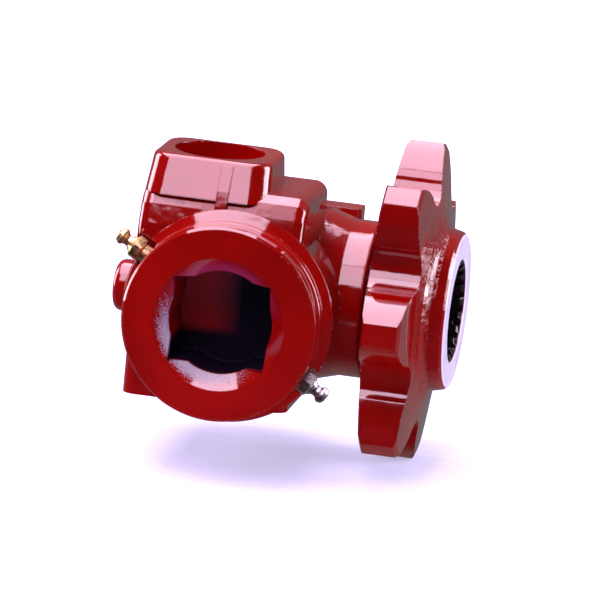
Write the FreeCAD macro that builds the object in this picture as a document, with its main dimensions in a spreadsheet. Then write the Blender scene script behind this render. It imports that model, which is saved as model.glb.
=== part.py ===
import FreeCAD, Part
import math
import os
import re

import Sketcher

# Right angle bevel gearbox with a rectangular input socket and a chain sprocket on its output shaft.
# Frame: the origin is where the input axis (Y) and the output axis (X) cross, +Z is up. The input
# socket opens toward -Y, the sprocket stands at +X, and the flat underside of the casting faces -Z.

Vec = FreeCAD.Vector
Rot = FreeCAD.Rotation
Place = FreeCAD.Placement

DIMENSIONS = {
    # casting
    "box_left": 34.0, "box_right": 23.0, "box_front": 57.0, "box_back": 12.0,
    "box_top": 41.8, "box_bottom": 31.0, "box_round": 4.5,
    "pivot_offset": 12.5, "pivot_back": 29.1, "pivot_top": 51.1, "pivot_bore_r": 15.5,
    "pivot_depth": 14.0, "pivot_width": 41.0, "pivot_length": 35.4, "pivot_draft": 1.0,
    "pivot_lean": 6.4, "pivot_high": 13.0, "pivot_round": 8.0, "rim_round": 2.2,
    "chamber_r": 22.6, "chamber_left": 28.0, "chamber_right": 21.8,
    "drum_r": 27.0, "flange_r": 30.5, "flange_near": 20.5, "rear_face": 27.5,
    "front_boss_r": 33.3, "front_boss_face": 63.0, "flare_r": 36.5,
    "neck_r": 27.3, "neck_end": 41.0, "neck_collar_r": 30.0,
    "side_boss_r": 14.0, "side_boss_end": 42.0, "side_boss_root_r": 17.0,
    "plug_boss_r": 9.0, "plug_boss_end": 44.5, "plug_boss_y": 28.0,
    "ridge_wide": 4.0, "ridge_proud": 0.6, "ridge_x": 4.0,
    "foot_back": 20.0, "foot_top": 12.0, "foot_hole_r": 3.0, "foot_hole_deep": 7.0,
    "lug_top": 27.5, "lug_thick": 5.0, "lug_end": 30.5, "lug_near": 18.0, "lug_far": 27.5,
    # bevel gears
    "gear_module": 2.2, "gear_teeth": 18, "gear_face": 8.0, "gear_backlash": 0.12,
    "gear_bore_r": 9.0, "gear_hub_r": 14.0, "gear_back": 26.0, "gear_nose": 15.2,
    "key_width": 5.0, "key_deep": 2.5, "key_length": 9.0, "key_gap": 0.03,
    # input side
    "collar_r": 33.3, "collar_face": 72.3, "collar_back": 63.3, "collar_edge": 0.8,
    "barrel_r": 26.0, "socket_wide": 33.0, "socket_high": 29.4, "socket_pilot_r": 17.7,
    "socket_deep": 25.0, "socket_mouth_r": 22.6, "socket_mouth_deep": 4.6,
    "bush_outer_r": 29.0, "bush_back": 44.5, "bush_face": 60.0, "fit_gap": 0.05,
    "front_race_r": 26.0, "front_race_near": 44.0, "front_race_far": 29.0,
    "stub_r": 12.5, "stub_end": 13.2,
    # output side
    "race_r": 23.5, "race_near": 23.0, "race_far": 35.0, "race_stop_r": 20.5,
    "shaft_mid_r": 11.0, "journal_r": 8.0, "journal_end": 39.5, "side_bush_r": 11.0,
    "seal_journal_r": 14.5, "seal_near": 36.4, "seal_far": 40.6,
    "spline_count": 21, "spline_r": 17.45, "spline_root_r": 15.9, "spline_start": 42.0,
    "spline_end": 58.0, "end_hole_r": 4.25, "end_hole_deep": 14.0,
    # sprocket
    "chain_pitch": 41.4, "chain_roller": 17.0, "sprocket_teeth": 7, "sprocket_r": 56.8,
    "tip_width": 7.6, "tip_thick": 12.3, "rim_thick": 21.0, "sprocket_near": 42.0,
    "hub_r": 27.5, "hub_face": 70.0, "web_r": 40.5,
    # rear cover and fasteners
    "cover_thick": 5.0, "gasket_thick": 0.5, "cover_raised": 2.0, "cover_screws": 6,
    "screw_circle_r": 26.6, "screw_r": 2.0, "screw_head_r": 4.04, "screw_head_high": 2.8,
    "screw_deep": 9.0, "washer_r": 3.7, "washer_thick": 0.8,
    "clip_thick": 1.2, "clip_wide": 2.2,
    # grease nipples
    "nipple_angle": 148.0, "nipple_back": 59.2, "nipple_thread_r": 3.0, "nipple_hex": 7.6,
    "nipple_seat": 33.5, "nipple_sunk": 2.4,
}

# local Z of a piece turned onto the axis that it lies along
ALONG_FRONT = Rot(Vec(-1, 0, 0), Vec(0, 0, -1), Vec(0, -1, 0), "ZXY")
ALONG_RIGHT = Rot(Vec(0, 1, 0), Vec(0, 0, 1), Vec(1, 0, 0), "ZXY")
ALONG_LEFT = Rot(Vec(0, -1, 0), Vec(0, 0, 1), Vec(-1, 0, 0), "ZXY")
ALONG_REAR = Rot(Vec(1, 0, 0), Vec(0, 0, -1), Vec(0, 1, 0), "ZXY")
SPROCKET_TURN = Rot(Vec(0, -1, 0), Vec(0, 0, -1), Vec(1, 0, 0), "ZXY")
ON_END = Rot(Vec(1, 0, 0), Vec(0, 0, 1), Vec(0, -1, 0), "ZXY")
UPRIGHT = Rot()

doc = FreeCAD.newDocument("bevel_gearbox")
sheet = doc.addObject("Spreadsheet::Sheet", "dims")
sheet.Label = "dims"
subparts = []


def fill_sheet():
    for row, (alias, size) in enumerate(DIMENSIONS.items(), start=1):
        sheet.set(f"A{row}", alias)
        sheet.set(f"B{row}", str(size))
        sheet.setAlias(f"B{row}", alias)
    doc.recompute()


def bound(text):
    """An expression on the sheet, written with bare alias names."""
    names = "|".join(sorted(DIMENSIONS, key=len, reverse=True))
    return re.sub(rf"\b({names})\b", r"dims.\1", text)


def number(text):
    """The value of an expression on the sheet."""
    return float(sheet.evalExpression(bound(text)))


def keep(piece, label, rotation=UPRIGHT, base=(0, 0, 0)):
    """Names a sub-part and puts it in its place."""
    piece.Label = label
    piece.Placement = Place(Vec(*base), rotation)
    subparts.append(piece)
    return piece


# ---------------------------------------------------------------- sketches and bodies

def origin_plane(body, role):
    return next(f for f in body.Origin.OriginFeatures if f.Role == role)


def outline_sketch(body, name, plane, points, offset="0"):
    """A closed outline whose corners are pairs of expressions on the sheet."""
    sketch = body.newObject("Sketcher::SketchObject", name)
    sketch.AttachmentSupport = (origin_plane(body, plane), "")
    sketch.MapMode = "FlatFace"
    if offset != "0":
        sketch.setExpression("AttachmentOffset.Base.z", bound(offset))
    corners = [Vec(number(a), number(b), 0) for a, b in points]
    count = len(corners)
    for i in range(count):
        sketch.addGeometry(Part.LineSegment(corners[i], corners[(i + 1) % count]), False)
    for i in range(count):
        sketch.addConstraint(Sketcher.Constraint("Coincident", i, 2, (i + 1) % count, 1))
    for i, pair in enumerate(points):
        for kind, text, axis in (("DistanceX", pair[0], -2), ("DistanceY", pair[1], -1)):
            if abs(number(text)) < 1e-9:
                sketch.addConstraint(Sketcher.Constraint("PointOnObject", i, 1, axis))
                continue
            row = sketch.addConstraint(Sketcher.Constraint(kind, -1, 1, i, 1, number(text)))
            sketch.setExpression(f"Constraints[{row}]", bound(text))
    return sketch


def turned(name, points):
    """A body turned about its own Z axis from an outline of (radius, height) corners."""
    body = doc.addObject("PartDesign::Body", name)
    sketch = outline_sketch(body, name + "_outline", "XZ_Plane", points)
    turn = body.newObject("PartDesign::Revolution", name + "_turn")
    turn.Profile = sketch
    turn.ReferenceAxis = (sketch, ["V_Axis"])
    turn.Angle = 360
    sketch.Visibility = False
    doc.recompute()
    return body


def cut_outline(body, name, points, offset, depth, reverse=True, count=1):
    """A pocket cut into a body along its Z axis, repeated round the axis when count is over 1."""
    before = body.Shape.Volume
    sketch = outline_sketch(body, name + "_outline", "XY_Plane", points, offset)
    pocket = body.newObject("PartDesign::Pocket", name)
    pocket.Profile = sketch
    pocket.Type = "Length"
    pocket.setExpression("Length", bound(depth))
    pocket.Reversed = reverse
    doc.recompute()
    if body.Shape.Volume > before - 0.01:
        raise RuntimeError(f"{name} cuts nothing")
    if count > 1:
        repeat_round(body, name, sketch, pocket, count)
    return pocket


def repeat_round(body, name, sketch, feature, count):
    ring = body.newObject("PartDesign::PolarPattern", name + "_ring")
    ring.Originals = [feature]
    ring.Axis = (sketch, ["N_Axis"])
    ring.Angle = 360
    ring.Occurrences = count
    body.Tip = ring
    doc.recompute()
    return ring


# ---------------------------------------------------------------- primitives and booleans

def rod(name, radius, length, rotation, base):
    piece = doc.addObject("Part::Cylinder", name)
    piece.setExpression("Radius", bound(radius))
    piece.setExpression("Height", bound(length))
    piece.Placement = Place(Vec(*base), rotation)
    return piece


def cone(name, radius_low, radius_high, length, rotation, base):
    piece = doc.addObject("Part::Cone", name)
    piece.setExpression("Radius1", bound(radius_low))
    piece.setExpression("Radius2", bound(radius_high))
    piece.setExpression("Height", bound(length))
    piece.Placement = Place(Vec(*base), rotation)
    return piece


def block(name, wide, long, high, base):
    piece = doc.addObject("Part::Box", name)
    piece.setExpression("Length", bound(wide))
    piece.setExpression("Width", bound(long))
    piece.setExpression("Height", bound(high))
    piece.Placement = Place(Vec(*base), UPRIGHT)
    return piece


def rounded(name, base, radius, choose):
    """A fillet on the edges of a solid that the choose function picks."""
    doc.recompute()
    piece = doc.addObject("Part::Fillet", name)
    piece.Base = base
    edges = base.Shape.Edges
    piece.Edges = [(i + 1, radius, radius) for i, edge in enumerate(edges) if choose(edge)]
    return piece


def joined(name, pieces):
    piece = doc.addObject("Part::MultiFuse", name)
    piece.Shapes = pieces
    return piece


def minus(name, solid, tools):
    piece = doc.addObject("Part::Cut", name)
    piece.Base = solid
    piece.Tool = tools[0] if len(tools) == 1 else joined(name + "_tools", tools)
    return piece


def gathered(name, shapes):
    """Several separate solids kept as one piece of the model."""
    piece = doc.addObject("Part::Feature", name)
    piece.Shape = Part.makeCompound(shapes)
    return piece


# ---------------------------------------------------------------- casting

def is_upright(edge):
    box = edge.BoundBox
    return box.ZLength > 4 and box.XLength < 3 and box.YLength < 9


def casting_box():
    """The block behind the front boss: its front leans back in a soft curve to its top."""
    body = doc.addObject("PartDesign::Body", "casting_box")
    sketch = outline_sketch(body, "box_outline", "YZ_Plane", [
        ("-box_back", "-box_bottom"), ("-box_back", "box_top"), ("-38", "box_top"),
        ("-46.8", "box_top - 0.4"), ("-50.8", "box_top - 2.6"), ("-53.8", "box_top - 6.8"),
        ("-56", "box_top - 13.3"), ("-box_front", "20"), ("-box_front", "-box_bottom")],
        "-box_left")
    pad = body.newObject("PartDesign::Pad", "box_pad")
    pad.Profile = sketch
    pad.setExpression("Length", bound("box_left + box_right"))
    sketch.Visibility = False
    doc.recompute()
    low, high = -number("box_left") + 0.1, number("box_right") - 0.1
    return rounded("casting_box_round", body, number("box_round"),
                   lambda edge: (edge.BoundBox.XMax < low or edge.BoundBox.XMin > high)
                   and edge.BoundBox.YMax < -number("box_back") - 0.1)


def foot_block():
    foot = block("foot", "box_left + box_right", "box_front + foot_back", "box_bottom - foot_top",
                 (-number("box_left"), -number("box_front"), -number("box_bottom")))
    return rounded("foot_round", foot, number("box_round"), is_upright)


def pivot_block():
    """The tapered block over the box that holds the upright pivot bore."""
    wedge = doc.addObject("Part::Wedge", "pivot_wedge")
    for prop, text in (("Xmin", "-pivot_width / 2 - pivot_draft"),
                       ("Xmax", "pivot_width / 2 + pivot_draft"),
                       ("Ymin", "0"), ("Ymax", "pivot_high"),
                       ("Zmin", "-pivot_length / 2 - pivot_draft"),
                       ("Zmax", "pivot_length / 2 + pivot_lean"),
                       ("X2min", "-pivot_width / 2"), ("X2max", "pivot_width / 2"),
                       ("Z2min", "-pivot_length / 2"), ("Z2max", "pivot_length / 2")):
        wedge.setExpression(prop, bound(text))
    low = number("pivot_top - pivot_high")
    wedge.Placement = Place(Vec(-number("pivot_offset"), -number("pivot_back"), low), ON_END)
    corners = rounded("pivot_corners", wedge, number("pivot_round"), is_upright)
    return rounded("pivot_rim", corners, number("rim_round"),
                   lambda edge: edge.BoundBox.ZMin > number("pivot_top") - 0.5)


def front_boss():
    face = number("front_boss_face")
    start = number("bush_back") - 18
    boss = rod("front_boss", "front_boss_r", "front_boss_face - bush_back + 18", ALONG_FRONT,
               (0, -start, 0))
    boss_round = rounded("front_boss_round", boss, 1.2,
                         lambda edge: edge.BoundBox.YMax < -face + 0.1)
    flare = cone("front_flare", "flare_r", "front_boss_r", "2.5", ALONG_FRONT,
                 (0, -number("box_front") + 0.6, 0))
    return [boss_round, flare]


def gear_drums():
    """The crossing drums round the two gears, the rear flange and the neck."""
    drum = rod("rear_drum", "drum_r", "rear_face + box_back + 5", ALONG_REAR,
               (0, -number("box_back") - 5, 0))
    flange = rod("rear_flange", "flange_r", "rear_face - flange_near", ALONG_REAR,
                 (0, number("flange_near"), 0))
    flange_round = rounded("rear_flange_round", flange, 1.0,
                           lambda edge: edge.BoundBox.YMax < number("flange_near") + 0.1)
    neck = rod("neck", "neck_r", "neck_end + box_left - 1", ALONG_RIGHT,
               (-number("box_left") + 1, 0, 0))
    neck_round = rounded("neck_round", neck, 1.5, lambda edge: edge.BoundBox.XLength < 0.1)
    collar = cone("neck_collar", "neck_collar_r", "neck_r", "9.5", ALONG_RIGHT,
                  (number("box_right") - 0.5, 0, 0))
    return [drum, flange_round, neck_round, collar]


def side_bosses():
    """The blind boss on the left round the far end of the output shaft, and the boss before it."""
    root = cone("side_boss_root", "side_boss_root_r", "side_boss_r",
                "side_boss_end - box_left - 1.5", ALONG_LEFT, (-number("box_left") + 1.5, 0, 0))
    boss = rod("side_boss", "side_boss_r", "side_boss_end - 20", ALONG_LEFT, (-20, 0, 0))
    boss_round = rounded("side_boss_rounded", boss, 3.5,
                         lambda edge: edge.BoundBox.XMax < -number("side_boss_end") + 0.1)
    plug = rod("plug_boss", "plug_boss_r", "plug_boss_end - 31", ALONG_LEFT,
               (-31, -number("plug_boss_y"), 0))
    plug_round = rounded("plug_boss_rounded", plug, 3.0,
                         lambda edge: edge.BoundBox.XMax < -number("plug_boss_end") + 0.1)
    return [root, boss_round, plug_round]


def casting_ridge():
    """The raised parting ridge up the front of the box and the pivot block."""
    body = doc.addObject("PartDesign::Body", "ridge")
    sketch = outline_sketch(body, "ridge_outline", "YZ_Plane", [
        ("-44", "pivot_top - 8"), ("-44", "pivot_top - 1.6"),
        ("-pivot_back - pivot_length / 2 - ridge_proud - 0.4", "pivot_top - 1.6"),
        ("-pivot_back - pivot_length / 2 - pivot_lean - ridge_proud + 1.4", "box_top - 0.4"),
        ("-53.6 - ridge_proud", "box_top - 5.4"), ("-56 - ridge_proud", "box_top - 13.3"),
        ("-50", "box_top - 13.3")], "-ridge_x - ridge_wide")
    pad = body.newObject("PartDesign::Pad", "ridge_pad")
    pad.Profile = sketch
    pad.setExpression("Length", bound("ridge_wide"))
    sketch.Visibility = False
    return [body]


def lug():
    plate = block("lug", "lug_end - 5", "lug_far - lug_near", "lug_thick",
                  (5, number("lug_near"), number("lug_top - lug_thick")))
    return rounded("lug_round", plate, 1.5,
                   lambda edge: is_upright(edge) and edge.BoundBox.XMin > 20)


def casting_outside():
    pieces = [casting_box(), foot_block(), pivot_block(), lug()]
    pieces += front_boss() + gear_drums() + side_bosses() + casting_ridge()
    return joined("casting_outside", pieces)


def casting_openings():
    far = number("front_race_far")
    rear = number("rear_face")
    tools = [
        rod("pivot_bore", "pivot_bore_r", "pivot_depth + 5", UPRIGHT,
            (-number("pivot_offset"), -number("pivot_back"), number("pivot_top - pivot_depth"))),
        rod("rear_facing", "flange_r + 2", "12", ALONG_REAR, (0, rear, 0)),
        rod("chamber_depth", "chamber_r", "rear_face + front_race_far + 1", ALONG_REAR,
            (0, -far, 0)),
        rod("chamber_width", "chamber_r", "chamber_left + chamber_right", ALONG_RIGHT,
            (-number("chamber_left"), 0, 0)),
        rod("front_race_seat", "front_race_r", "front_boss_face - front_race_far + 1",
            ALONG_FRONT, (0, -far, 0)),
        rod("bush_seat", "bush_outer_r", "front_boss_face - bush_back + 1", ALONG_FRONT,
            (0, -number("bush_back"), 0)),
        rod("race_stop", "race_stop_r", "race_near", ALONG_RIGHT, (5, 0, 0)),
        rod("race_seat", "race_r", "neck_end - race_near + 1", ALONG_RIGHT,
            (number("race_near"), 0, 0)),
        rod("race_clip_groove", "race_r + 1.2", "clip_thick + 0.05", ALONG_RIGHT,
            (number("race_far"), 0, 0)),
        rod("side_bush_seat", "side_bush_r", "journal_end - chamber_left + 1.5", ALONG_LEFT,
            (-number("chamber_left") + 0.5, 0, 0)),
    ]
    for x, y in foot_places():
        tools.append(rod("foot_hole", "foot_hole_r", "foot_hole_deep", UPRIGHT,
                         (x, y, -number("box_bottom"))))
    for x, z in cover_places():
        tools.append(rod("screw_hole", "screw_r", "screw_deep", ALONG_REAR,
                         (x, rear - number("screw_deep") + 1, z)))
    for turn in (0, 180):
        direction = nipple_direction(turn)
        start = direction * (number("bush_outer_r") - 1)
        tools.append(rod("nipple_hole", "nipple_thread_r", "9", Rot(Vec(0, 0, 1), direction),
                         (start.x, -number("nipple_back"), start.z)))
        seat = direction * number("nipple_seat")
        tools.append(rod("nipple_seat_face", "nipple_hex / 2 + 1.4", "12",
                         Rot(Vec(0, 0, 1), direction),
                         (seat.x, -number("nipple_back"), seat.z)))
    return tools


def nipple_direction(turn):
    angle = math.radians(number("nipple_angle") + turn)
    return Vec(math.cos(angle), 0, math.sin(angle))


def foot_places():
    return [(x, y) for x in (-number("box_left") + 8, number("box_right") - 6.5)
            for y in (-number("box_front") + 16, number("foot_back") - 8)]


def cover_places():
    """The screws of the rear cover, evenly round its circle."""
    count = int(number("cover_screws"))
    turns = [2 * math.pi * (i + 0.5) / count for i in range(count)]
    return [(number("screw_circle_r") * math.cos(a), number("screw_circle_r") * math.sin(a))
            for a in turns]


def make_casting():
    keep(minus("gear_housing", casting_outside(), casting_openings()), "gear_housing")


# ---------------------------------------------------------------- bevel gears

def involute(angle):
    return math.tan(angle) - angle


def space_section(scale):
    """One tooth space across the back cone, shrunk toward the apex by scale."""
    module = number("gear_module")
    teeth = number("gear_teeth")
    pitch_r = module * teeth / 2
    back_r = pitch_r * math.sqrt(2)
    base_r = back_r * math.cos(math.radians(20))
    back_teeth = teeth * math.sqrt(2)
    side = []
    for height in (-1.25, -0.8, -0.3, 0.2, 0.7, 1.4):
        radius = max(back_r + height * module, base_r)
        lean = involute(math.acos(base_r / radius)) - involute(math.radians(20))
        half = math.pi / (2 * back_teeth) + lean + number("gear_backlash") / 2 / back_r
        at = back_r + height * module
        side.append((at * math.cos(half) - back_r, at * math.sin(half)))
    ring = side + [(rise, -across) for rise, across in reversed(side)]
    half_root = math.sqrt(0.5)
    points = [Vec(pitch_r + rise * half_root, across, pitch_r - rise * half_root) * scale
              for rise, across in ring]
    return Part.makePolygon(points + points[:1])


def bevel_gear(label, rotation, phase):
    """A straight bevel gear with its apex at the origin and its axis along its own Z."""
    module = number("gear_module")
    pitch_r = module * number("gear_teeth") / 2
    inner = 1 - number("gear_face") / (pitch_r * math.sqrt(2))
    tip = module * math.sqrt(0.5)
    root = 1.25 * module * math.sqrt(0.5)
    bore = number("gear_bore_r")
    nose, back, hub = number("gear_nose"), number("gear_back"), number("gear_hub_r")
    outline = [(bore, nose), ((pitch_r - root) * inner - 1.0, nose),
               ((pitch_r + tip) * inner, (pitch_r - tip) * inner), (pitch_r + tip, pitch_r - tip),
               (pitch_r - root, pitch_r + root), (hub, back - 2), (hub, back), (bore, back)]
    wire = Part.makePolygon([Vec(r, 0, z) for r, z in outline + outline[:1]])
    blank = Part.Face(wire).revolve(Vec(0, 0, 0), Vec(0, 0, 1), 360)
    space = Part.makeLoft([space_section(inner * 0.8), space_section(1.25)], True, True)
    step = 360 / number("gear_teeth")
    spaces = []
    for i in range(int(number("gear_teeth"))):
        cutter = space.copy()
        cutter.rotate(Vec(0, 0, 0), Vec(0, 0, 1), i * step + phase)
        spaces.append(cutter)
    gear = blank.cut(spaces)
    keyway = Part.makeBox(number("key_width"), number("key_deep") + 1, back - nose + 2,
                          Vec(-number("key_width / 2"), bore - 1, nose - 1))
    piece = doc.addObject("Part::Feature", label)
    piece.Shape = gear.cut(keyway).removeSplitter()
    keep(piece, label, rotation)


def key(label, rotation):
    """A feather key that stands half in the shaft and half in the gear."""
    start = number("gear_nose") + 1.0
    piece = doc.addObject("Part::Box", label)
    piece.setExpression("Length", bound("key_width - 2 * key_gap"))
    piece.setExpression("Width", bound("key_deep * 2 - 0.6"))
    piece.setExpression("Height", bound("key_length - 2 * key_gap"))
    local = Vec(-number("key_width / 2 - key_gap"), number("gear_bore_r - key_deep + key_gap"),
                start + number("key_gap"))
    spot = rotation.multVec(local)
    keep(piece, label, rotation, (spot.x, spot.y, spot.z))


# ---------------------------------------------------------------- rings, clips and ball bearings

def ring(label, inner, outer, length, rotation, base):
    body = turned(label, [(inner, "0"), (outer, "0"), (outer, length), (inner, length)])
    return keep(body, label, rotation, base)


def circlip(label, inner, rotation, base):
    """A spring ring with a gap between its ends."""
    outer, thick = inner + " + clip_wide", "clip_thick"
    body = turned(label, [(inner, "0"), (outer, "0"), (outer, thick), (inner, thick)])
    reach = outer + " + 1"
    cut_outline(body, label + "_gap",
                [("0", "-2.5"), (reach, "-2.5"), (reach, "2.5"), ("0", "2.5")],
                "-1", f"{thick} + 2")
    return keep(body, label, rotation, base)


def ball_bearing(name, bore, outer, wide, ball_r, count, rotation, base):
    """Outer ring, inner ring, balls and cage of a deep groove bearing, each a piece of its own."""
    track = (number(bore) + number(outer)) / 2
    land = ball_r * 0.45
    groove = Part.makeTorus(track, ball_r + 0.03, Vec(0, 0, number(wide) / 2))
    for side, low, high in (("outer_ring", f"({bore} + {outer}) / 2 + {land}", outer),
                            ("inner_ring", bore, f"({bore} + {outer}) / 2 - {land}")):
        label = f"{name}_{side}"
        body = turned(label + "_blank", [(low, "0"), (high, "0"), (high, wide), (low, wide)])
        track_ring = doc.addObject("Part::Feature", label + "_track")
        track_ring.Shape = groove
        keep(minus(label, body, [track_ring]), label, rotation, base)
    middle = number(wide) / 2
    angles = [2 * math.pi * (i + 0.5) / count for i in range(count)]
    outward = [Vec(math.cos(a), math.sin(a), 0) for a in angles]
    centre = Vec(0, 0, middle)
    spots = [centre + way * track for way in outward]
    keep(gathered(f"{name}_balls", [Part.makeSphere(ball_r, spot) for spot in spots]),
         f"{name}_balls", rotation, base)
    half_cage = ball_r + 1.0
    cage = Part.makeCylinder(track + 1.1, half_cage * 2, Vec(0, 0, middle - half_cage))
    cage = cage.cut(Part.makeCylinder(track - 1.1, half_cage * 2, Vec(0, 0, middle - half_cage)))
    cage = cage.cut([Part.makeCylinder(ball_r + 0.05, 6, centre + way * (track - 3), way)
                     for way in outward])
    piece = doc.addObject("Part::Feature", f"{name}_cage")
    piece.Shape = cage
    keep(piece, f"{name}_cage", rotation, base)


# ---------------------------------------------------------------- input side

def make_input_hub():
    """Collar, barrel and stub shaft in one piece, with the rectangular socket broached into it."""
    stub = turned("hub_turned", [
        ("0", "stub_end"), ("gear_bore_r - 0.6", "stub_end"), ("gear_bore_r", "stub_end + 0.6"),
        ("gear_bore_r", "front_race_far"), ("stub_r", "front_race_far"),
        ("stub_r", "front_race_near"), ("stub_r + 3", "front_race_near"),
        ("stub_r + 3", "bush_back"), ("barrel_r", "bush_back + 0.2"),
        ("barrel_r", "collar_back"), ("collar_r - collar_edge", "collar_back"),
        ("collar_r", "collar_back + collar_edge"), ("collar_r", "collar_face - collar_edge"),
        ("collar_r - collar_edge", "collar_face"), ("socket_mouth_r", "collar_face"),
        ("socket_pilot_r", "collar_face - socket_mouth_deep"),
        ("socket_pilot_r", "collar_face - socket_deep"),
        ("0", "collar_face - socket_deep - 1.5")])
    wide, high = "socket_wide / 2", "socket_high / 2"
    cut_outline(stub, "broached_socket",
                [(f"-{wide}", f"-{high}"), (wide, f"-{high}"), (wide, high), (f"-{wide}", high)],
                "collar_face + 1", "socket_deep", reverse=False)
    key_half = "key_width / 2"
    cut_outline(stub, "key_seat",
                [(f"-{key_half}", "gear_bore_r - key_deep"), (key_half, "gear_bore_r - key_deep"),
                 (key_half, "gear_bore_r + 3"), (f"-{key_half}", "gear_bore_r + 3")],
                "gear_nose + 1", "key_length")
    keep(stub, "input_hub", ALONG_FRONT)


def make_input_side():
    make_input_hub()
    back = number("gear_back")
    bevel_gear("input_bevel_gear", ALONG_FRONT, 0)
    key("input_key", ALONG_FRONT)
    ring("input_spacer", "gear_bore_r", "gear_hub_r + 1", "front_race_far - gear_back",
         ALONG_FRONT, (0, -back, 0))
    circlip("input_circlip", "gear_bore_r", ALONG_FRONT, (0, -number("gear_nose - clip_thick"), 0))
    ball_bearing("front_bearing", "stub_r", "front_race_r", "front_race_near - front_race_far",
                 3.97, 9, ALONG_FRONT, (0, -number("front_race_far"), 0))
    bush = turned("front_bush", [
        ("barrel_r + fit_gap", "0"), ("bush_outer_r", "0"), ("bush_outer_r", "bush_face - bush_back"),
        ("barrel_r + fit_gap", "bush_face - bush_back")])
    keep(bush, "front_bush", ALONG_FRONT, (0, -number("bush_back"), 0))
    seal = turned("front_seal", [
        ("barrel_r + fit_gap", "1"), ("barrel_r + 1", "0"), ("bush_outer_r", "0"),
        ("bush_outer_r", "3"), ("barrel_r + 1", "3"), ("barrel_r + fit_gap", "2")])
    keep(seal, "front_seal", ALONG_FRONT, (0, -number("bush_face"), 0))


# ---------------------------------------------------------------- output side

def spline_gap(inner, outer, narrow, broad):
    """The outline of one gap or groove of the spline, as corners on the +X side."""
    return [(inner, f"-{narrow}"), (outer, f"-{broad}"), (outer, broad), (inner, narrow)]


def make_output_shaft():
    """One shaft from the side bush, through the gear and the bearing, to the splined end."""
    start = number("journal_end")
    at = {name: f"journal_end + {value}" for name, value in (
        ("gear_far", "0 - gear_back - 1.5"), ("gear_near", "0 - gear_nose"),
        ("race_near", "race_near"), ("race_far", "race_far"),
        ("spline_start", "spline_start"), ("spline_end", "spline_end"))}
    shaft = turned("shaft_turned", [
        ("0", "0"), ("journal_r - 0.8", "0"), ("journal_r", "0.8"),
        ("journal_r", at["gear_far"]), ("gear_bore_r", at["gear_far"]),
        ("gear_bore_r", at["gear_near"]), ("shaft_mid_r", at["gear_near"]),
        ("shaft_mid_r", at["race_near"] + " - 4"), ("stub_r", at["race_near"] + " - 4"),
        ("stub_r", at["race_far"]), ("seal_journal_r", at["race_far"]),
        ("seal_journal_r", at["spline_start"] + " - 1"),
        ("spline_r", at["spline_start"] + " - 0.2"), ("spline_r", at["spline_end"] + " - 1"),
        ("spline_r - 1", at["spline_end"]), ("end_hole_r", at["spline_end"]),
        ("end_hole_r", at["spline_end"] + " - end_hole_deep"),
        ("0", at["spline_end"] + " - end_hole_deep - 2.5")])
    key_half = "key_width / 2"
    cut_outline(shaft, "shaft_key_seat",
                [(f"-{key_half}", "gear_bore_r - key_deep"), (key_half, "gear_bore_r - key_deep"),
                 (key_half, "gear_bore_r + 0.5"), (f"-{key_half}", "gear_bore_r + 0.5")],
                "journal_end - gear_nose - key_length - 1", "key_length")
    cut_outline(shaft, "shaft_spline",
                spline_gap("spline_root_r", "spline_r + 1", "1.15", "1.75"),
                at["spline_start"] + " - 1", "spline_end - spline_start + 2",
                count=int(number("spline_count")))
    keep(shaft, "output_shaft", ALONG_RIGHT, (-start, 0, 0))


def sprocket_blank():
    """The disc of the sprocket with both faces thinned toward the tips, and its hub."""
    face = "(rim_thick - tip_thick) / 2"
    return turned("sprocket_turned", [
        ("spline_root_r + 0.05", "0"), ("hub_r + 2", "0"), ("web_r - 4", "1.5"),
        ("sprocket_r - 2", face + " - 0.6"), ("sprocket_r", face + " + 0.4"),
        ("sprocket_r", f"rim_thick - {face} - 0.4"), ("sprocket_r - 2", f"rim_thick - {face} + 0.6"),
        ("web_r - 2", "rim_thick - 1.5"), ("hub_r + 5.5", "rim_thick - 0.4"),
        ("hub_r + 1", "rim_thick + 1.6"), ("hub_r", "hub_face - sprocket_near - 1.2"),
        ("hub_r - 1.2", "hub_face - sprocket_near"), ("spline_r + 1", "hub_face - sprocket_near"),
        ("spline_root_r + 0.05", "hub_face - sprocket_near - 1.6")])


def tooth_gap():
    """The space between two teeth: a roller seat with a long, slightly crowned flank each side."""
    teeth = number("sprocket_teeth")
    pitch_r = number("chain_pitch") / 2 / math.sin(math.pi / teeth)
    seat = number("chain_roller") / 2
    tip_r = number("sprocket_r")
    spread = math.radians(68)
    half_gap = math.pi / teeth - math.asin(number("tip_width") / 2 / tip_r)
    bottom = Vec(pitch_r - seat, 0, 0)
    seat_end = Vec(pitch_r - seat * math.cos(spread), seat * math.sin(spread), 0)
    tip = Vec(tip_r * math.cos(half_gap), tip_r * math.sin(half_gap), 0)
    beyond = tip + (tip - seat_end).normalize() * 14
    crown = (seat_end + tip) * 0.5 + Vec(0.9, -0.9, 0)

    def mirrored(point):
        return Vec(point.x, -point.y, 0)

    edges = [
        Part.Arc(mirrored(seat_end), bottom, seat_end).toShape(),
        Part.Arc(seat_end, crown, tip).toShape(),
        Part.LineSegment(tip, beyond).toShape(),
        Part.LineSegment(beyond, mirrored(beyond)).toShape(),
        Part.LineSegment(mirrored(beyond), mirrored(tip)).toShape(),
        Part.Arc(mirrored(tip), mirrored(crown), mirrored(seat_end)).toShape()]
    return Part.Face(Part.Wire(edges))


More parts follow.
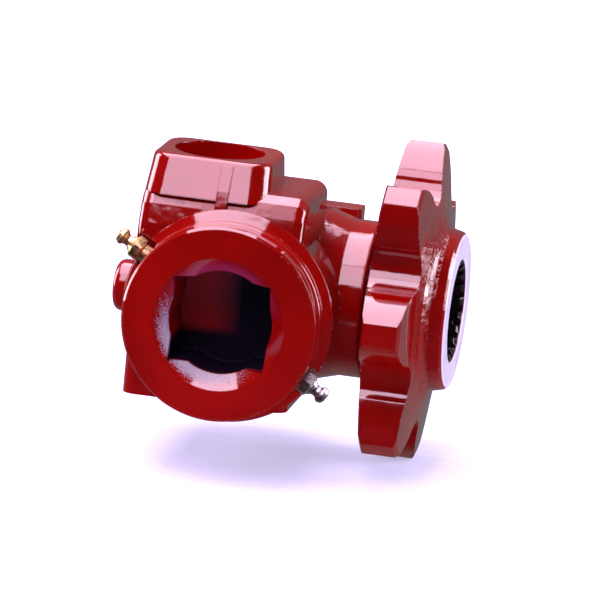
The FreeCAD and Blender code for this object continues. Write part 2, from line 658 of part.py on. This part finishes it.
def make_sprocket():
    blank = sprocket_blank()
    cut_outline(blank, "bore_spline",
                spline_gap("spline_root_r - 1.5", "spline_r + 0.06", "1.38", "1.13"),
                "0 - 1", "hub_face - sprocket_near + 2", count=int(number("spline_count")))
    teeth = int(number("sprocket_teeth"))
    gaps = []
    for i in range(teeth):
        gap = tooth_gap().extrude(Vec(0, 0, number("rim_thick") + 4))
        gap.translate(Vec(0, 0, -2))
        gap.rotate(Vec(0, 0, 0), Vec(0, 0, 1), (i + 0.5) * 360 / teeth)
        gaps.append(gap)
    cutters = doc.addObject("Part::Feature", "tooth_gaps")
    cutters.Shape = Part.makeCompound(gaps)
    screw_way = rod("set_screw_way", "3", "30", Rot(Vec(0, 0, 1), set_screw_direction()),
                    tuple(set_screw_direction() * 17 + Vec(0, 0, number("rim_thick / 2"))))
    sprocket = minus("chain_sprocket", blank, [cutters, screw_way])
    keep(sprocket, "chain_sprocket", SPROCKET_TURN, (number("sprocket_near"), 0, 0))


def set_screw_direction():
    """The direction, in the sprocket's own frame, of the tooth gap that holds the set screw."""
    angle = math.radians(3.5 * 360 / number("sprocket_teeth"))
    return Vec(math.cos(angle), math.sin(angle), 0)


def make_set_screw():
    direction = set_screw_direction()
    screw = Part.makeCylinder(3, 9, direction * 18 + Vec(0, 0, number("rim_thick / 2")), direction)
    socket_spot = direction * 24 + Vec(0, 0, number("rim_thick / 2"))
    screw = screw.cut(Part.makeCylinder(1.5, 4, socket_spot, direction))
    piece = doc.addObject("Part::Feature", "sprocket_set_screw")
    piece.Shape = screw
    keep(piece, "sprocket_set_screw", SPROCKET_TURN, (number("sprocket_near"), 0, 0))


def make_output_side():
    make_output_shaft()
    bevel_gear("output_bevel_gear", ALONG_LEFT, 180 / number("gear_teeth"))
    key("output_key", ALONG_LEFT)
    circlip("output_gear_circlip", "gear_bore_r", ALONG_LEFT, (-number("gear_back"), 0, 0))
    ball_bearing("output_bearing", "stub_r", "race_r", "race_far - race_near", 3.175, 10,
                 ALONG_RIGHT, (number("race_near"), 0, 0))
    circlip("shaft_circlip", "stub_r", ALONG_RIGHT, (number("race_near - clip_thick"), 0, 0))
    circlip("neck_circlip", "race_r + 1.1 - clip_wide", ALONG_RIGHT, (number("race_far"), 0, 0))
    seal = turned("output_seal", [
        ("seal_journal_r + fit_gap", "2"), ("seal_journal_r + 2", "0"), ("race_r", "0"),
        ("race_r", "seal_far - seal_near"), ("seal_journal_r + 2", "seal_far - seal_near"),
        ("seal_journal_r + fit_gap", "3")])
    keep(seal, "output_seal", ALONG_RIGHT, (number("seal_near"), 0, 0))
    ring("side_bush", "journal_r + fit_gap", "side_bush_r", "journal_end - chamber_left",
         ALONG_LEFT, (-number("chamber_left"), 0, 0))
    make_sprocket()
    make_set_screw()


# ---------------------------------------------------------------- rear cover and fittings

def screw_ways(name, thick, base_y):
    return [rod(name + "_hole", "screw_r + 0.15", thick + " + 2", ALONG_REAR, (x, base_y - 1, z))
            for x, z in cover_places()]


def make_rear_cover():
    rear = number("rear_face")
    seat = rear + number("gasket_thick")
    gasket = rod("gasket", "flange_r", "gasket_thick", ALONG_REAR, (0, rear, 0))
    window = rod("gasket_window", "chamber_r", "gasket_thick + 2", ALONG_REAR, (0, rear - 1, 0))
    keep(minus("rear_gasket", gasket, [window] + screw_ways("gasket", "gasket_thick", rear)),
         "rear_gasket")
    plate = rod("cover_plate", "flange_r", "cover_thick", ALONG_REAR, (0, seat, 0))
    plate_round = rounded("cover_round", plate, 1.2,
                          lambda edge: edge.BoundBox.YMin > seat + number("cover_thick") - 0.1)
    spigot = rod("cover_spigot", "chamber_r - 0.2", "2.5", ALONG_REAR, (0, rear - 2, 0))
    raised = cone("cover_raised", "16", "14.5", "cover_raised", ALONG_REAR,
                  (0, seat + number("cover_thick"), 0))
    plug_hole = rod("plug_hole", "6.02", "16", ALONG_REAR, (0, rear - 4, 0))
    keep(minus("rear_cover", joined("cover_solid", [plate_round, spigot, raised]),
               [plug_hole] + screw_ways("cover", "cover_thick", seat)), "rear_cover")


def hexagon(radius, thick, centre):
    """A six-sided block along Y, with its corners turned off at the outer end."""
    corners = [Vec(radius * math.cos(a), 0, radius * math.sin(a))
               for a in (math.pi / 3 * i for i in range(6))]
    head = Part.Face(Part.makePolygon(corners + corners[:1])).extrude(Vec(0, thick, 0))
    crown = Part.makeCone(radius + 0.6, radius - 0.5, thick, Vec(0, 0, 0), Vec(0, 1, 0))
    head = head.common(crown)
    head.translate(centre)
    return head


def make_cover_screws():
    rear = number("rear_face")
    top = rear + number("gasket_thick + cover_thick")
    washer_top = top + number("washer_thick")
    depth = number("screw_deep") - 2
    screws = []
    washers = []
    for x, z in cover_places():
        washer = Part.makeCylinder(number("washer_r"), number("washer_thick"), Vec(x, top, z),
                                   Vec(0, 1, 0))
        hole = Part.makeCylinder(number("screw_r") + 0.2, 4, Vec(x, top - 1, z), Vec(0, 1, 0))
        washers.append(washer.cut(hole))
        head = hexagon(number("screw_head_r"), number("screw_head_high"), Vec(x, washer_top, z))
        shank = Part.makeCylinder(number("screw_r"), washer_top - rear + depth,
                                  Vec(x, rear - depth, z), Vec(0, 1, 0))
        screws.append(head.fuse(shank))
    keep(gathered("cover_screws", screws), "cover_screws")
    keep(gathered("cover_washers", washers), "cover_washers")


def make_filler_plug():
    seat = number("rear_face + gasket_thick + cover_thick + cover_raised")
    ring("plug_washer", "6", "9", "1.2", ALONG_REAR, (0, seat, 0))
    shank = rod("plug_shank", "6", "8 + 1.2", ALONG_REAR, (0, seat - 8, 0))
    head = doc.addObject("Part::Prism", "plug_head")
    head.Polygon = 6
    head.Circumradius = 8.6
    head.Height = 5.5
    head.Placement = Place(Vec(0, seat + 1.2, 0), ALONG_REAR)
    keep(joined("filler_plug", [shank, head]), "filler_plug")


def make_nipple(label, turn, sunk):
    """A grease nipple: thread, hexagon, neck and ball head, standing out along its own axis."""
    direction = nipple_direction(turn)
    corner = "nipple_hex / 2 + 0.25"
    body = turned(label + "_turned", [
        ("0", sunk), ("nipple_thread_r", sunk), ("nipple_thread_r", "6.6"), ("2.4", "6.8"),
        ("2.4", "7.1"), (corner + " - 0.5", "7.1"), (corner, "7.5"), (corner, "10.1"),
        (corner + " - 0.6", "10.5"), ("3", "10.9"), ("2.1", "12"), ("1.9", "12.8"),
        ("2.1", "13.6"), ("2.9", "14.4"), ("3", "15.2"), ("2.4", "16.4"), ("1.2", "17"),
        ("0.8", "17"), ("0.8", "16.2"), ("0", "16.2")])
    prism = doc.addObject("Part::Prism", label + "_hexagon")
    prism.Polygon = 6
    prism.setExpression("Circumradius", bound("nipple_hex / cos(30)  / 2"))
    prism.Height = 25
    base = direction * number(f"bush_outer_r - {sunk}")
    shape = doc.addObject("Part::Common", label)
    shape.Base = body
    shape.Tool = prism
    keep(shape, label, Rot(Vec(0, 0, 1), direction), (base.x, -number("nipple_back"), base.z))


def make_all():
    fill_sheet()
    make_casting()
    make_input_side()
    make_output_side()
    make_rear_cover()
    make_cover_screws()
    make_filler_plug()
    make_nipple("grease_nipple_upper", 0, "0")
    make_nipple("grease_nipple_lower", 180, "nipple_sunk")
    doc.recompute()


def check_and_write():
    for item in doc.Objects:
        if "Invalid" in item.State or "Error" in item.State:
            raise RuntimeError(f"{item.Label} did not build: {item.State}")
    for piece in subparts:
        if piece.Shape.isNull() or not piece.Shape.isValid():
            raise RuntimeError(f"{piece.Label} has no valid shape")
    os.makedirs("parts", exist_ok=True)
    for piece in subparts:
        piece.Shape.exportStep(f"parts/{piece.Label}.step")
        print(f"{piece.Label}: {len(piece.Shape.Solids)} solid(s), {piece.Shape.Volume:.0f} mm3")


make_all()
check_and_write()
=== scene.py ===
import math

import bpy
from mathutils import Matrix, Vector


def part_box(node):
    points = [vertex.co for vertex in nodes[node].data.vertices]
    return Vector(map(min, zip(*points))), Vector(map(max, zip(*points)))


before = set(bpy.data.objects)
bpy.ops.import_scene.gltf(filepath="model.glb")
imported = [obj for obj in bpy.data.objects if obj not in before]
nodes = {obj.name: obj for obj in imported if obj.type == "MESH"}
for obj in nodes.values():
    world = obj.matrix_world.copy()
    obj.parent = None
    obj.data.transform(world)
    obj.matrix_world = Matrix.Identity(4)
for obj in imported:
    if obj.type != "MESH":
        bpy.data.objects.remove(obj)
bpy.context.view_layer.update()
mm = 0.001

# ---------------------------------------------------------------- places read from the frame

COLLAR_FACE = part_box("input_hub")[0].y
HUB_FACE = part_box("chain_sprocket")[1].x
FLOOR_Z = min(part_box(name)[0].z for name in nodes)


# ---------------------------------------------------------------- shader helpers

class Shader:
    """A material whose nodes are added one call at a time."""

    def __init__(self, name):
        self.material = bpy.data.materials.new(name)
        self.material.use_nodes = True
        self.tree = self.material.node_tree
        self.surface = self.tree.nodes["Principled BSDF"]
        self.place = self.add("ShaderNodeTexCoord").outputs["Object"]

    def add(self, kind, **settings):
        node = self.tree.nodes.new(kind)
        for key, value in settings.items():
            setattr(node, key, value)
        return node

    def link(self, source, target):
        self.tree.links.new(source, target)

    def set(self, **values):
        """Give sockets of the surface one value each."""
        for key, value in values.items():
            self.surface.inputs[key.replace("_", " ")].default_value = value

    def feed(self, socket, source):
        """Let a socket of the surface vary over the piece."""
        self.link(source, self.surface.inputs[socket])

    def math(self, operation, a, b=None, clamp=False):
        node = self.add("ShaderNodeMath", operation=operation, use_clamp=clamp)
        for socket, value in zip(node.inputs, (a, b)):
            if isinstance(value, (int, float)):
                socket.default_value = value
            elif value is not None:
                self.link(value, socket)
        return node.outputs[0]

    def times(self, a, b, clamp=False):
        return self.math("MULTIPLY", a, b, clamp)

    def noise(self, scale, detail=3.0, roughness=0.55, place=None):
        node = self.add("ShaderNodeTexNoise")
        node.inputs["Scale"].default_value = scale
        node.inputs["Detail"].default_value = detail
        node.inputs["Roughness"].default_value = roughness
        self.link(place or self.place, node.inputs["Vector"])
        return node.outputs["Fac"]

    def along(self, axis):
        node = self.add("ShaderNodeSeparateXYZ")
        self.link(self.place, node.inputs[0])
        return node.outputs[axis]

    def from_axis(self, first, second):
        """The distance from the line where both coordinates are zero."""
        a, b = self.along(first), self.along(second)
        squares = self.math("ADD", self.times(a, a), self.times(b, b))
        return self.math("SQRT", squares)

    def stretched(self, x, y, z):
        node = self.add("ShaderNodeMapping")
        node.inputs["Scale"].default_value = (x, y, z)
        self.link(self.place, node.inputs["Vector"])
        return node.outputs["Vector"]

    def span(self, value, low, high, to_low=0.0, to_high=1.0):
        node = self.add("ShaderNodeMapRange", clamp=True)
        self.link(value, node.inputs["Value"])
        node.inputs["From Min"].default_value = low
        node.inputs["From Max"].default_value = high
        node.inputs["To Min"].default_value = to_low
        node.inputs["To Max"].default_value = to_high
        return node.outputs["Result"]

    def mix(self, share, first, second):
        node = self.add("ShaderNodeMix", data_type="RGBA")
        self.link(share, node.inputs["Factor"])
        for socket, value in ((node.inputs["A"], first), (node.inputs["B"], second)):
            if isinstance(value, tuple):
                socket.default_value = (*value, 1.0)
            else:
                self.link(value, socket)
        return node.outputs["Result"]

    def rounded(self, radius):
        """The normal of the surface as if its edges had a small radius."""
        node = self.add("ShaderNodeBevel", samples=6)
        node.inputs["Radius"].default_value = radius
        return node.outputs["Normal"]

    def edges(self, radius):
        """1 on a sharp edge within the radius, 0 on open surface."""
        flat = self.add("ShaderNodeNewGeometry")
        dot = self.add("ShaderNodeVectorMath", operation="DOT_PRODUCT")
        self.link(self.rounded(radius), dot.inputs[0])
        self.link(flat.outputs["Normal"], dot.inputs[1])
        return self.span(dot.outputs["Value"], 0.99, 0.86)

    def bump(self, layers, round_edges=0.0):
        """Bumps stacked from (height, depth) pairs, over edges rounded by a small radius."""
        normal = self.rounded(round_edges) if round_edges else None
        for height, depth in layers:
            node = self.add("ShaderNodeBump")
            node.inputs["Distance"].default_value = depth
            self.link(height, node.inputs["Height"])
            if normal is not None:
                self.link(normal, node.inputs["Normal"])
            normal = node.outputs["Normal"]
        self.feed("Normal", normal)


# ---------------------------------------------------------------- materials

ENAMEL = (0.25, 0.0012, 0.0006)
ENAMEL_DEEP = (0.17, 0.0008, 0.0005)
# Painted reflection: a lilac enamel tone for the downward-facing upper side of the socket's
# mouth.
ENAMEL_LILAC_REFLECTION = (0.24, 0.016, 0.045)
SCUFFED = (0.50, 0.46, 0.52)
BARE = (0.34, 0.30, 0.35)
# Bare turned steel of the hub face, lightened to a lilac white as a painted reflection of the
# bright lamps.
TURNED_FACE_AND_REFLECTION = (0.80, 0.76, 0.86)
# Painted shade: near black for deep inside the socket, where only shade falls.
HOLLOW_PAINTED_SHADE = (0.004, 0.002, 0.010)
HOLLOW_RED = (0.24, 0.002, 0.002)
# Painted shade: near black for the inside of the sprocket's splined bore.
BORE_PAINTED_SHADE = (0.006, 0.003, 0.005)

CHIP_WIDE = 0.8 * mm
ENAMEL_EDGE = 0.7 * mm
METAL_EDGE = 0.15 * mm
RUN_DEPTH = 2.2 * mm

MOUTH_RADIUS = 22.2 * mm
MOUTH_INNER = 19.0 * mm
MOUTH_DEPTH = 4.4 * mm
HUB_FACE_RADIUS = 26.6 * mm
SPLINE_RADIUS = 17.5 * mm


def enamel(name, chips, rough):
    """Thick gloss enamel over a casting, uneven and a little runny, with small chips on edges.

    Returns the shader, its colour and its layers of bumps.
    """
    s = Shader(name)
    drift = s.span(s.noise(28, 4), 0.35, 0.65)
    smooth = s.mix(drift, ENAMEL, ENAMEL_DEEP)
    nick_low = 0.62 - 0.06 * chips
    nick = s.span(s.noise(1300, 2, 0.7), nick_low, nick_low + 0.04)
    patch = s.span(s.noise(75, 3), 0.50, 0.58)
    chip = s.times(s.times(s.edges(CHIP_WIDE), nick), patch, clamp=True)
    colour = s.mix(chip, smooth, SCUFFED)
    s.set(Coat_Weight=0.8, Coat_Roughness=0.03, IOR=1.5, Coat_IOR=1.55)
    layers = [(s.noise(45, 3), 0.9 * rough * mm), (s.noise(170, 2), 0.12 * rough * mm)]
    return s, colour, layers


def uneven_gloss(s):
    s.feed("Roughness", s.span(s.noise(160, 3), 0.3, 0.7, 0.07, 0.13))


def casting_enamel():
    s, colour, layers = enamel("enamel_casting", chips=0.5, rough=1.0)
    uneven_gloss(s)
    s.feed("Base Color", colour)
    s.bump(layers, ENAMEL_EDGE)
    return s.material


def collar_enamel():
    """The collar's enamel, with bare metal dusted by overspray round the socket's mouth, a
    painted lilac reflection on the upper side of the mouth, and painted shade deep in the socket.
    """
    s, colour, layers = enamel("enamel_collar", chips=0.3, rough=0.25)
    radius = s.from_axis("X", "Z")
    depth = s.math("SUBTRACT", s.along("Y"), COLLAR_FACE)
    mouth = s.times(s.span(radius, MOUTH_RADIUS, MOUTH_INNER),
                    s.span(depth, MOUTH_DEPTH + 0.8 * mm, MOUTH_DEPTH), clamp=True)
    # Painted reflection: the upper side of the mouth takes a lilac tone, as if it mirrored the
    # floor below.
    lilac_reflection_top = s.times(mouth, s.span(s.along("Z"), 3.0 * mm, 14.0 * mm))
    low_left = s.math("ADD", s.times(s.along("X"), -0.62), s.times(s.along("Z"), -0.78))
    dust = s.span(s.noise(2600, 2, 0.6), 0.35, 0.65)
    scraped = s.times(s.times(mouth, s.span(low_left, 3.0 * mm, 20.0 * mm)), 1.4)
    bare = s.span(s.math("SUBTRACT", scraped, dust), 0.0, 0.18)
    # Painted shade: deep in the socket the colour turns near black, keeping the enamel's red only
    # towards the upper left.
    inside = s.times(s.span(radius, MOUTH_RADIUS + 1.8 * mm, MOUTH_RADIUS + 1.3 * mm),
                     s.span(depth, MOUTH_DEPTH, MOUTH_DEPTH + 2.6 * mm))
    unshaded_left = s.times(s.span(s.along("X"), 3.0 * mm, -7.0 * mm),
                   s.span(s.along("Z"), -9.0 * mm, -6.0 * mm))
    painted = s.mix(bare, s.mix(lilac_reflection_top, colour, ENAMEL_LILAC_REFLECTION), BARE)
    dull = s.math("MAXIMUM", bare, inside)
    s.feed("Base Color", s.mix(inside, painted, s.mix(unshaded_left, HOLLOW_PAINTED_SHADE, HOLLOW_RED)))
    s.feed("Roughness", s.span(dull, 0, 1, 0.09, 0.45))
    s.feed("Coat Weight", s.span(dull, 0, 1, 1.0, 0.0))
    s.feed("Specular IOR Level", s.span(inside, 0, 1, 0.5, 0.12))
    s.bump(layers, ENAMEL_EDGE)
    return s.material


def sprocket_enamel():
    """Rough cast sides with runs in the paint, a hub face turned clean of it whose bare metal is
    coloured pale lilac white as a painted reflection, and painted shade in the splined bore.
    """
    s, colour, layers = enamel("enamel_sprocket", chips=1.0, rough=0.7)
    uneven_gloss(s)
    radius = s.from_axis("Y", "Z")
    # The turned hub face is bare metal, its colour a pale lilac white as a painted reflection.
    turned = s.times(s.span(s.along("X"), HUB_FACE - 0.5 * mm, HUB_FACE - 0.2 * mm),
                     s.span(radius, HUB_FACE_RADIUS + 0.6 * mm, HUB_FACE_RADIUS))
    # Painted shade: the splined bore is coloured near black.
    bore_shade = s.span(radius, SPLINE_RADIUS + 0.4 * mm, SPLINE_RADIUS)
    s.feed("Base Color", s.mix(bore_shade, s.mix(turned, colour, TURNED_FACE_AND_REFLECTION), BORE_PAINTED_SHADE))
    s.feed("Coat Weight", s.span(s.math("MAXIMUM", bore_shade, turned), 0, 1, 1.0, 0.0))
    hub_side = s.times(s.span(radius, 40 * mm, 27 * mm),
                       s.span(s.along("X"), HUB_FACE, HUB_FACE - 4 * mm))
    runs = s.times(s.noise(110, 4, 0.6, s.stretched(0.6, 1, 1)), hub_side)
    s.bump(layers + [(runs, RUN_DEPTH)], ENAMEL_EDGE)
    return s.material


def metal(name, colour, roughness, grain=(1, 1, 1), dark=None):
    """Bare or plated metal with fine tool marks stretched along one way and faint stains."""
    s = Shader(name)
    streak = s.noise(900, 3, 0.6, s.stretched(*grain))
    stain = s.span(s.noise(140, 4), 0.35, 0.7)
    darker = dark or tuple(c * 0.6 for c in colour)
    s.feed("Base Color", s.mix(stain, colour, darker))
    s.feed("Roughness", s.span(streak, 0.3, 0.7, roughness * 0.5, roughness * 1.9))
    s.set(Metallic=1.0)
    s.bump([(streak, 0.015 * mm)], METAL_EDGE)
    return s.material


def rubber(name):
    """Matt black rubber with a little dust on it."""
    s = Shader(name)
    dust = s.span(s.noise(300, 4), 0.45, 0.75)
    s.feed("Base Color", s.mix(dust, (0.012, 0.012, 0.013), (0.05, 0.048, 0.045)))
    s.feed("Roughness", s.span(s.noise(600, 2), 0.3, 0.7, 0.45, 0.65))
    s.bump([(s.noise(1400, 2), 0.02 * mm)])
    return s.material


def paper(name):
    """Brown fibrous gasket paper."""
    s = Shader(name)
    fibre = s.noise(1800, 4, 0.7)
    s.feed("Base Color", s.mix(fibre, (0.12, 0.10, 0.07), (0.25, 0.21, 0.15)))
    s.feed("Roughness", s.span(fibre, 0.2, 0.8, 0.75, 0.95))
    s.bump([(fibre, 0.03 * mm)])
    return s.material


def give(material, *names):
    """Put one material on every face of the named pieces."""
    for name in names:
        slots = nodes[name].data.materials
        slots.clear()
        slots.append(material)
        for face in nodes[name].data.polygons:
            face.material_index = 0


def dress_nodes():
    ground = metal("ground_steel", (0.56, 0.56, 0.58), 0.16)
    # Painted shade: near black steel for the output shaft, whose end shows dark inside the
    # sprocket's bore.
    shade_dark_steel = metal("steel_painted_shade", (0.10, 0.085, 0.095), 0.3)
    turned = metal("turned_steel", (0.50, 0.50, 0.52), 0.28, grain=(0.1, 1, 1))
    bronze = metal("bronze", (0.62, 0.38, 0.15), 0.3)
    brass = metal("yellow_zinc", (0.95, 0.72, 0.38), 0.3, dark=(0.66, 0.44, 0.20))
    zinc = metal("bright_zinc", (0.95, 0.95, 0.97), 0.3, dark=(0.72, 0.71, 0.74))
    oxide = metal("black_oxide", (0.07, 0.07, 0.08), 0.35)
    copper = metal("copper", (0.72, 0.33, 0.18), 0.3)
    give(casting_enamel(), "gear_housing", "rear_cover")
    give(sprocket_enamel(), "chain_sprocket")
    give(collar_enamel(), "input_hub")
    give(ground, "front_bearing_outer_ring", "front_bearing_inner_ring", "front_bearing_balls",
         "output_bearing_outer_ring", "output_bearing_inner_ring", "output_bearing_balls",
         "input_bevel_gear", "output_bevel_gear")
    give(shade_dark_steel, "output_shaft")
    give(turned, "input_spacer", "input_key", "output_key", "front_bearing_cage",
         "output_bearing_cage")
    give(bronze, "front_bush", "side_bush")
    give(brass, "grease_nipple_upper")
    give(zinc, "grease_nipple_lower", "cover_screws", "cover_washers", "filler_plug")
    give(oxide, "input_circlip", "output_gear_circlip", "shaft_circlip", "neck_circlip",
         "sprocket_set_screw")
    give(copper, "plug_washer")
    give(rubber("seal_rubber"), "front_seal", "output_seal")
    give(paper("gasket_paper"), "rear_gasket")


SHARP_ANGLE = math.radians(28)


def smooth_nodes():
    """Curved walls shade smooth, and edges sharper than the angle stay crisp."""
    for node in nodes.values():
        mesh = node.data
        for face in mesh.polygons:
            face.use_smooth = True
        mesh.set_sharp_from_angle(angle=SHARP_ANGLE)


# ---------------------------------------------------------------- floor, light and camera

FLOOR_GAP = 0.2 * mm
FLOOR_NEAR = -0.26
FLOOR_FAR = 3.0
FLOOR_HALF = 3.0


def make_floor():
    """A pale cloth that glows, brighter into the background behind the part, which also lifts the
    part's cast shadow on it.
    """
    corners = [(-FLOOR_HALF, FLOOR_NEAR), (FLOOR_HALF, FLOOR_NEAR),
               (FLOOR_HALF, FLOOR_FAR), (-FLOOR_HALF, FLOOR_FAR)]
    mesh = bpy.data.meshes.new("floor")
    mesh.from_pydata([(x, y, FLOOR_Z - FLOOR_GAP) for x, y in corners], [], [(0, 1, 2, 3)])
    floor = bpy.data.objects.new("floor", mesh)
    bpy.context.scene.collection.objects.link(floor)
    s = Shader("pale_cloth")
    weave = s.noise(260, 4, 0.6, s.stretched(0.45, 1.6, 1))
    s.feed("Base Color", s.mix(weave, (0.52, 0.56, 0.98), (0.64, 0.67, 1.0)))
    s.feed("Roughness", s.span(weave, 0.3, 0.7, 0.7, 0.9))
    # Painted light: the cloth glows, more strongly further behind the part.
    s.set(Emission_Color=(0.76, 0.72, 1.0, 1))
    s.feed("Emission Strength", s.span(s.along("Y"), 0.1, 0.6, 0.6, 1.6))
    s.bump([(weave, 1.2 * mm)])
    mesh.materials.append(s.material)
    floor.visible_glossy = False


def area_light(name, spot, aim, size, power, colour):
    """A rectangular lamp at a spot, turned towards the aim."""
    data = bpy.data.lights.new(name, "AREA")
    data.shape = "RECTANGLE"
    data.size, data.size_y = size
    data.energy = power
    data.color = colour
    light = bpy.data.objects.new(name, data)
    light.location = spot
    light.rotation_euler = (Vector(aim) - Vector(spot)).to_track_quat("-Z", "Y").to_euler()
    bpy.context.scene.collection.objects.link(light)


def make_lights():
    centre = (0, 0, 0)
    lilac = (1.0, 0.86, 1.0)
    area_light("overhead", (-0.25, 0.0, 0.9), (-0.25, 0.0, 0), (0.9, 1.1), 22, (1.0, 0.76, 0.98))
    area_light("front_top", (-0.15, -0.85, 0.8), centre, (0.8, 0.6), 9, (1.0, 0.72, 0.94))
    area_light("right_panel", (1.1, 0.4, 0.35), centre, (0.6, 0.9), 14, lilac)
    area_light("left_panel", (-1.1, 0.25, 0.3), centre, (0.5, 0.9), 10, lilac)


def make_world():
    """A dim glow from behind the part and near darkness from the camera's side."""
    world = bpy.data.worlds.new("studio")
    world.use_nodes = True
    tree = world.node_tree
    surround = tree.nodes["Background"]
    place = tree.nodes.new("ShaderNodeTexCoord")
    split = tree.nodes.new("ShaderNodeSeparateXYZ")
    tree.links.new(place.outputs["Generated"], split.inputs[0])
    fade = tree.nodes.new("ShaderNodeMapRange")
    fade.inputs["From Min"].default_value = -0.1
    fade.inputs["From Max"].default_value = 0.4
    fade.inputs["To Min"].default_value = 0.02
    fade.inputs["To Max"].default_value = 0.16
    tree.links.new(split.outputs["Y"], fade.inputs["Value"])
    tree.links.new(fade.outputs["Result"], surround.inputs["Strength"])
    surround.inputs["Color"].default_value = (1.0, 0.95, 1.0, 1)
    bpy.context.scene.world = world


CAMERA_AZIMUTH = math.radians(9.5)
CAMERA_HEIGHT = math.radians(12.0)
CAMERA_ROLL = math.radians(5.5)
CAMERA_DISTANCE = 2.08
CAMERA_LENS = 360.0
CAMERA_AIM = Vector((0.0147, 0.0017, -0.0037))


def make_camera():
    """A long lens that looks at the socket and the hub at once, a little rolled."""
    az, high, roll = CAMERA_AZIMUTH, CAMERA_HEIGHT, CAMERA_ROLL
    right = Vector((math.cos(az), math.sin(az), 0))
    back = Vector((math.sin(az) * math.cos(high), -math.cos(az) * math.cos(high), math.sin(high)))
    up = back.cross(right)
    image_right = right * math.cos(roll) + up * math.sin(roll)
    image_up = up * math.cos(roll) - right * math.sin(roll)
    data = bpy.data.cameras.new("camera")
    data.lens = CAMERA_LENS
    data.sensor_width = 36.0
    data.clip_end = 20
    camera = bpy.data.objects.new("camera", data)
    turn = Matrix((image_right, image_up, back)).transposed()
    camera.matrix_world = Matrix.Translation(CAMERA_AIM + back * CAMERA_DISTANCE) @ turn.to_4x4()
    bpy.context.scene.collection.objects.link(camera)
    bpy.context.scene.camera = camera


smooth_nodes()
dress_nodes()
make_floor()
make_lights()
make_world()
make_camera()
bpy.context.scene.view_settings.view_transform = "Standard"
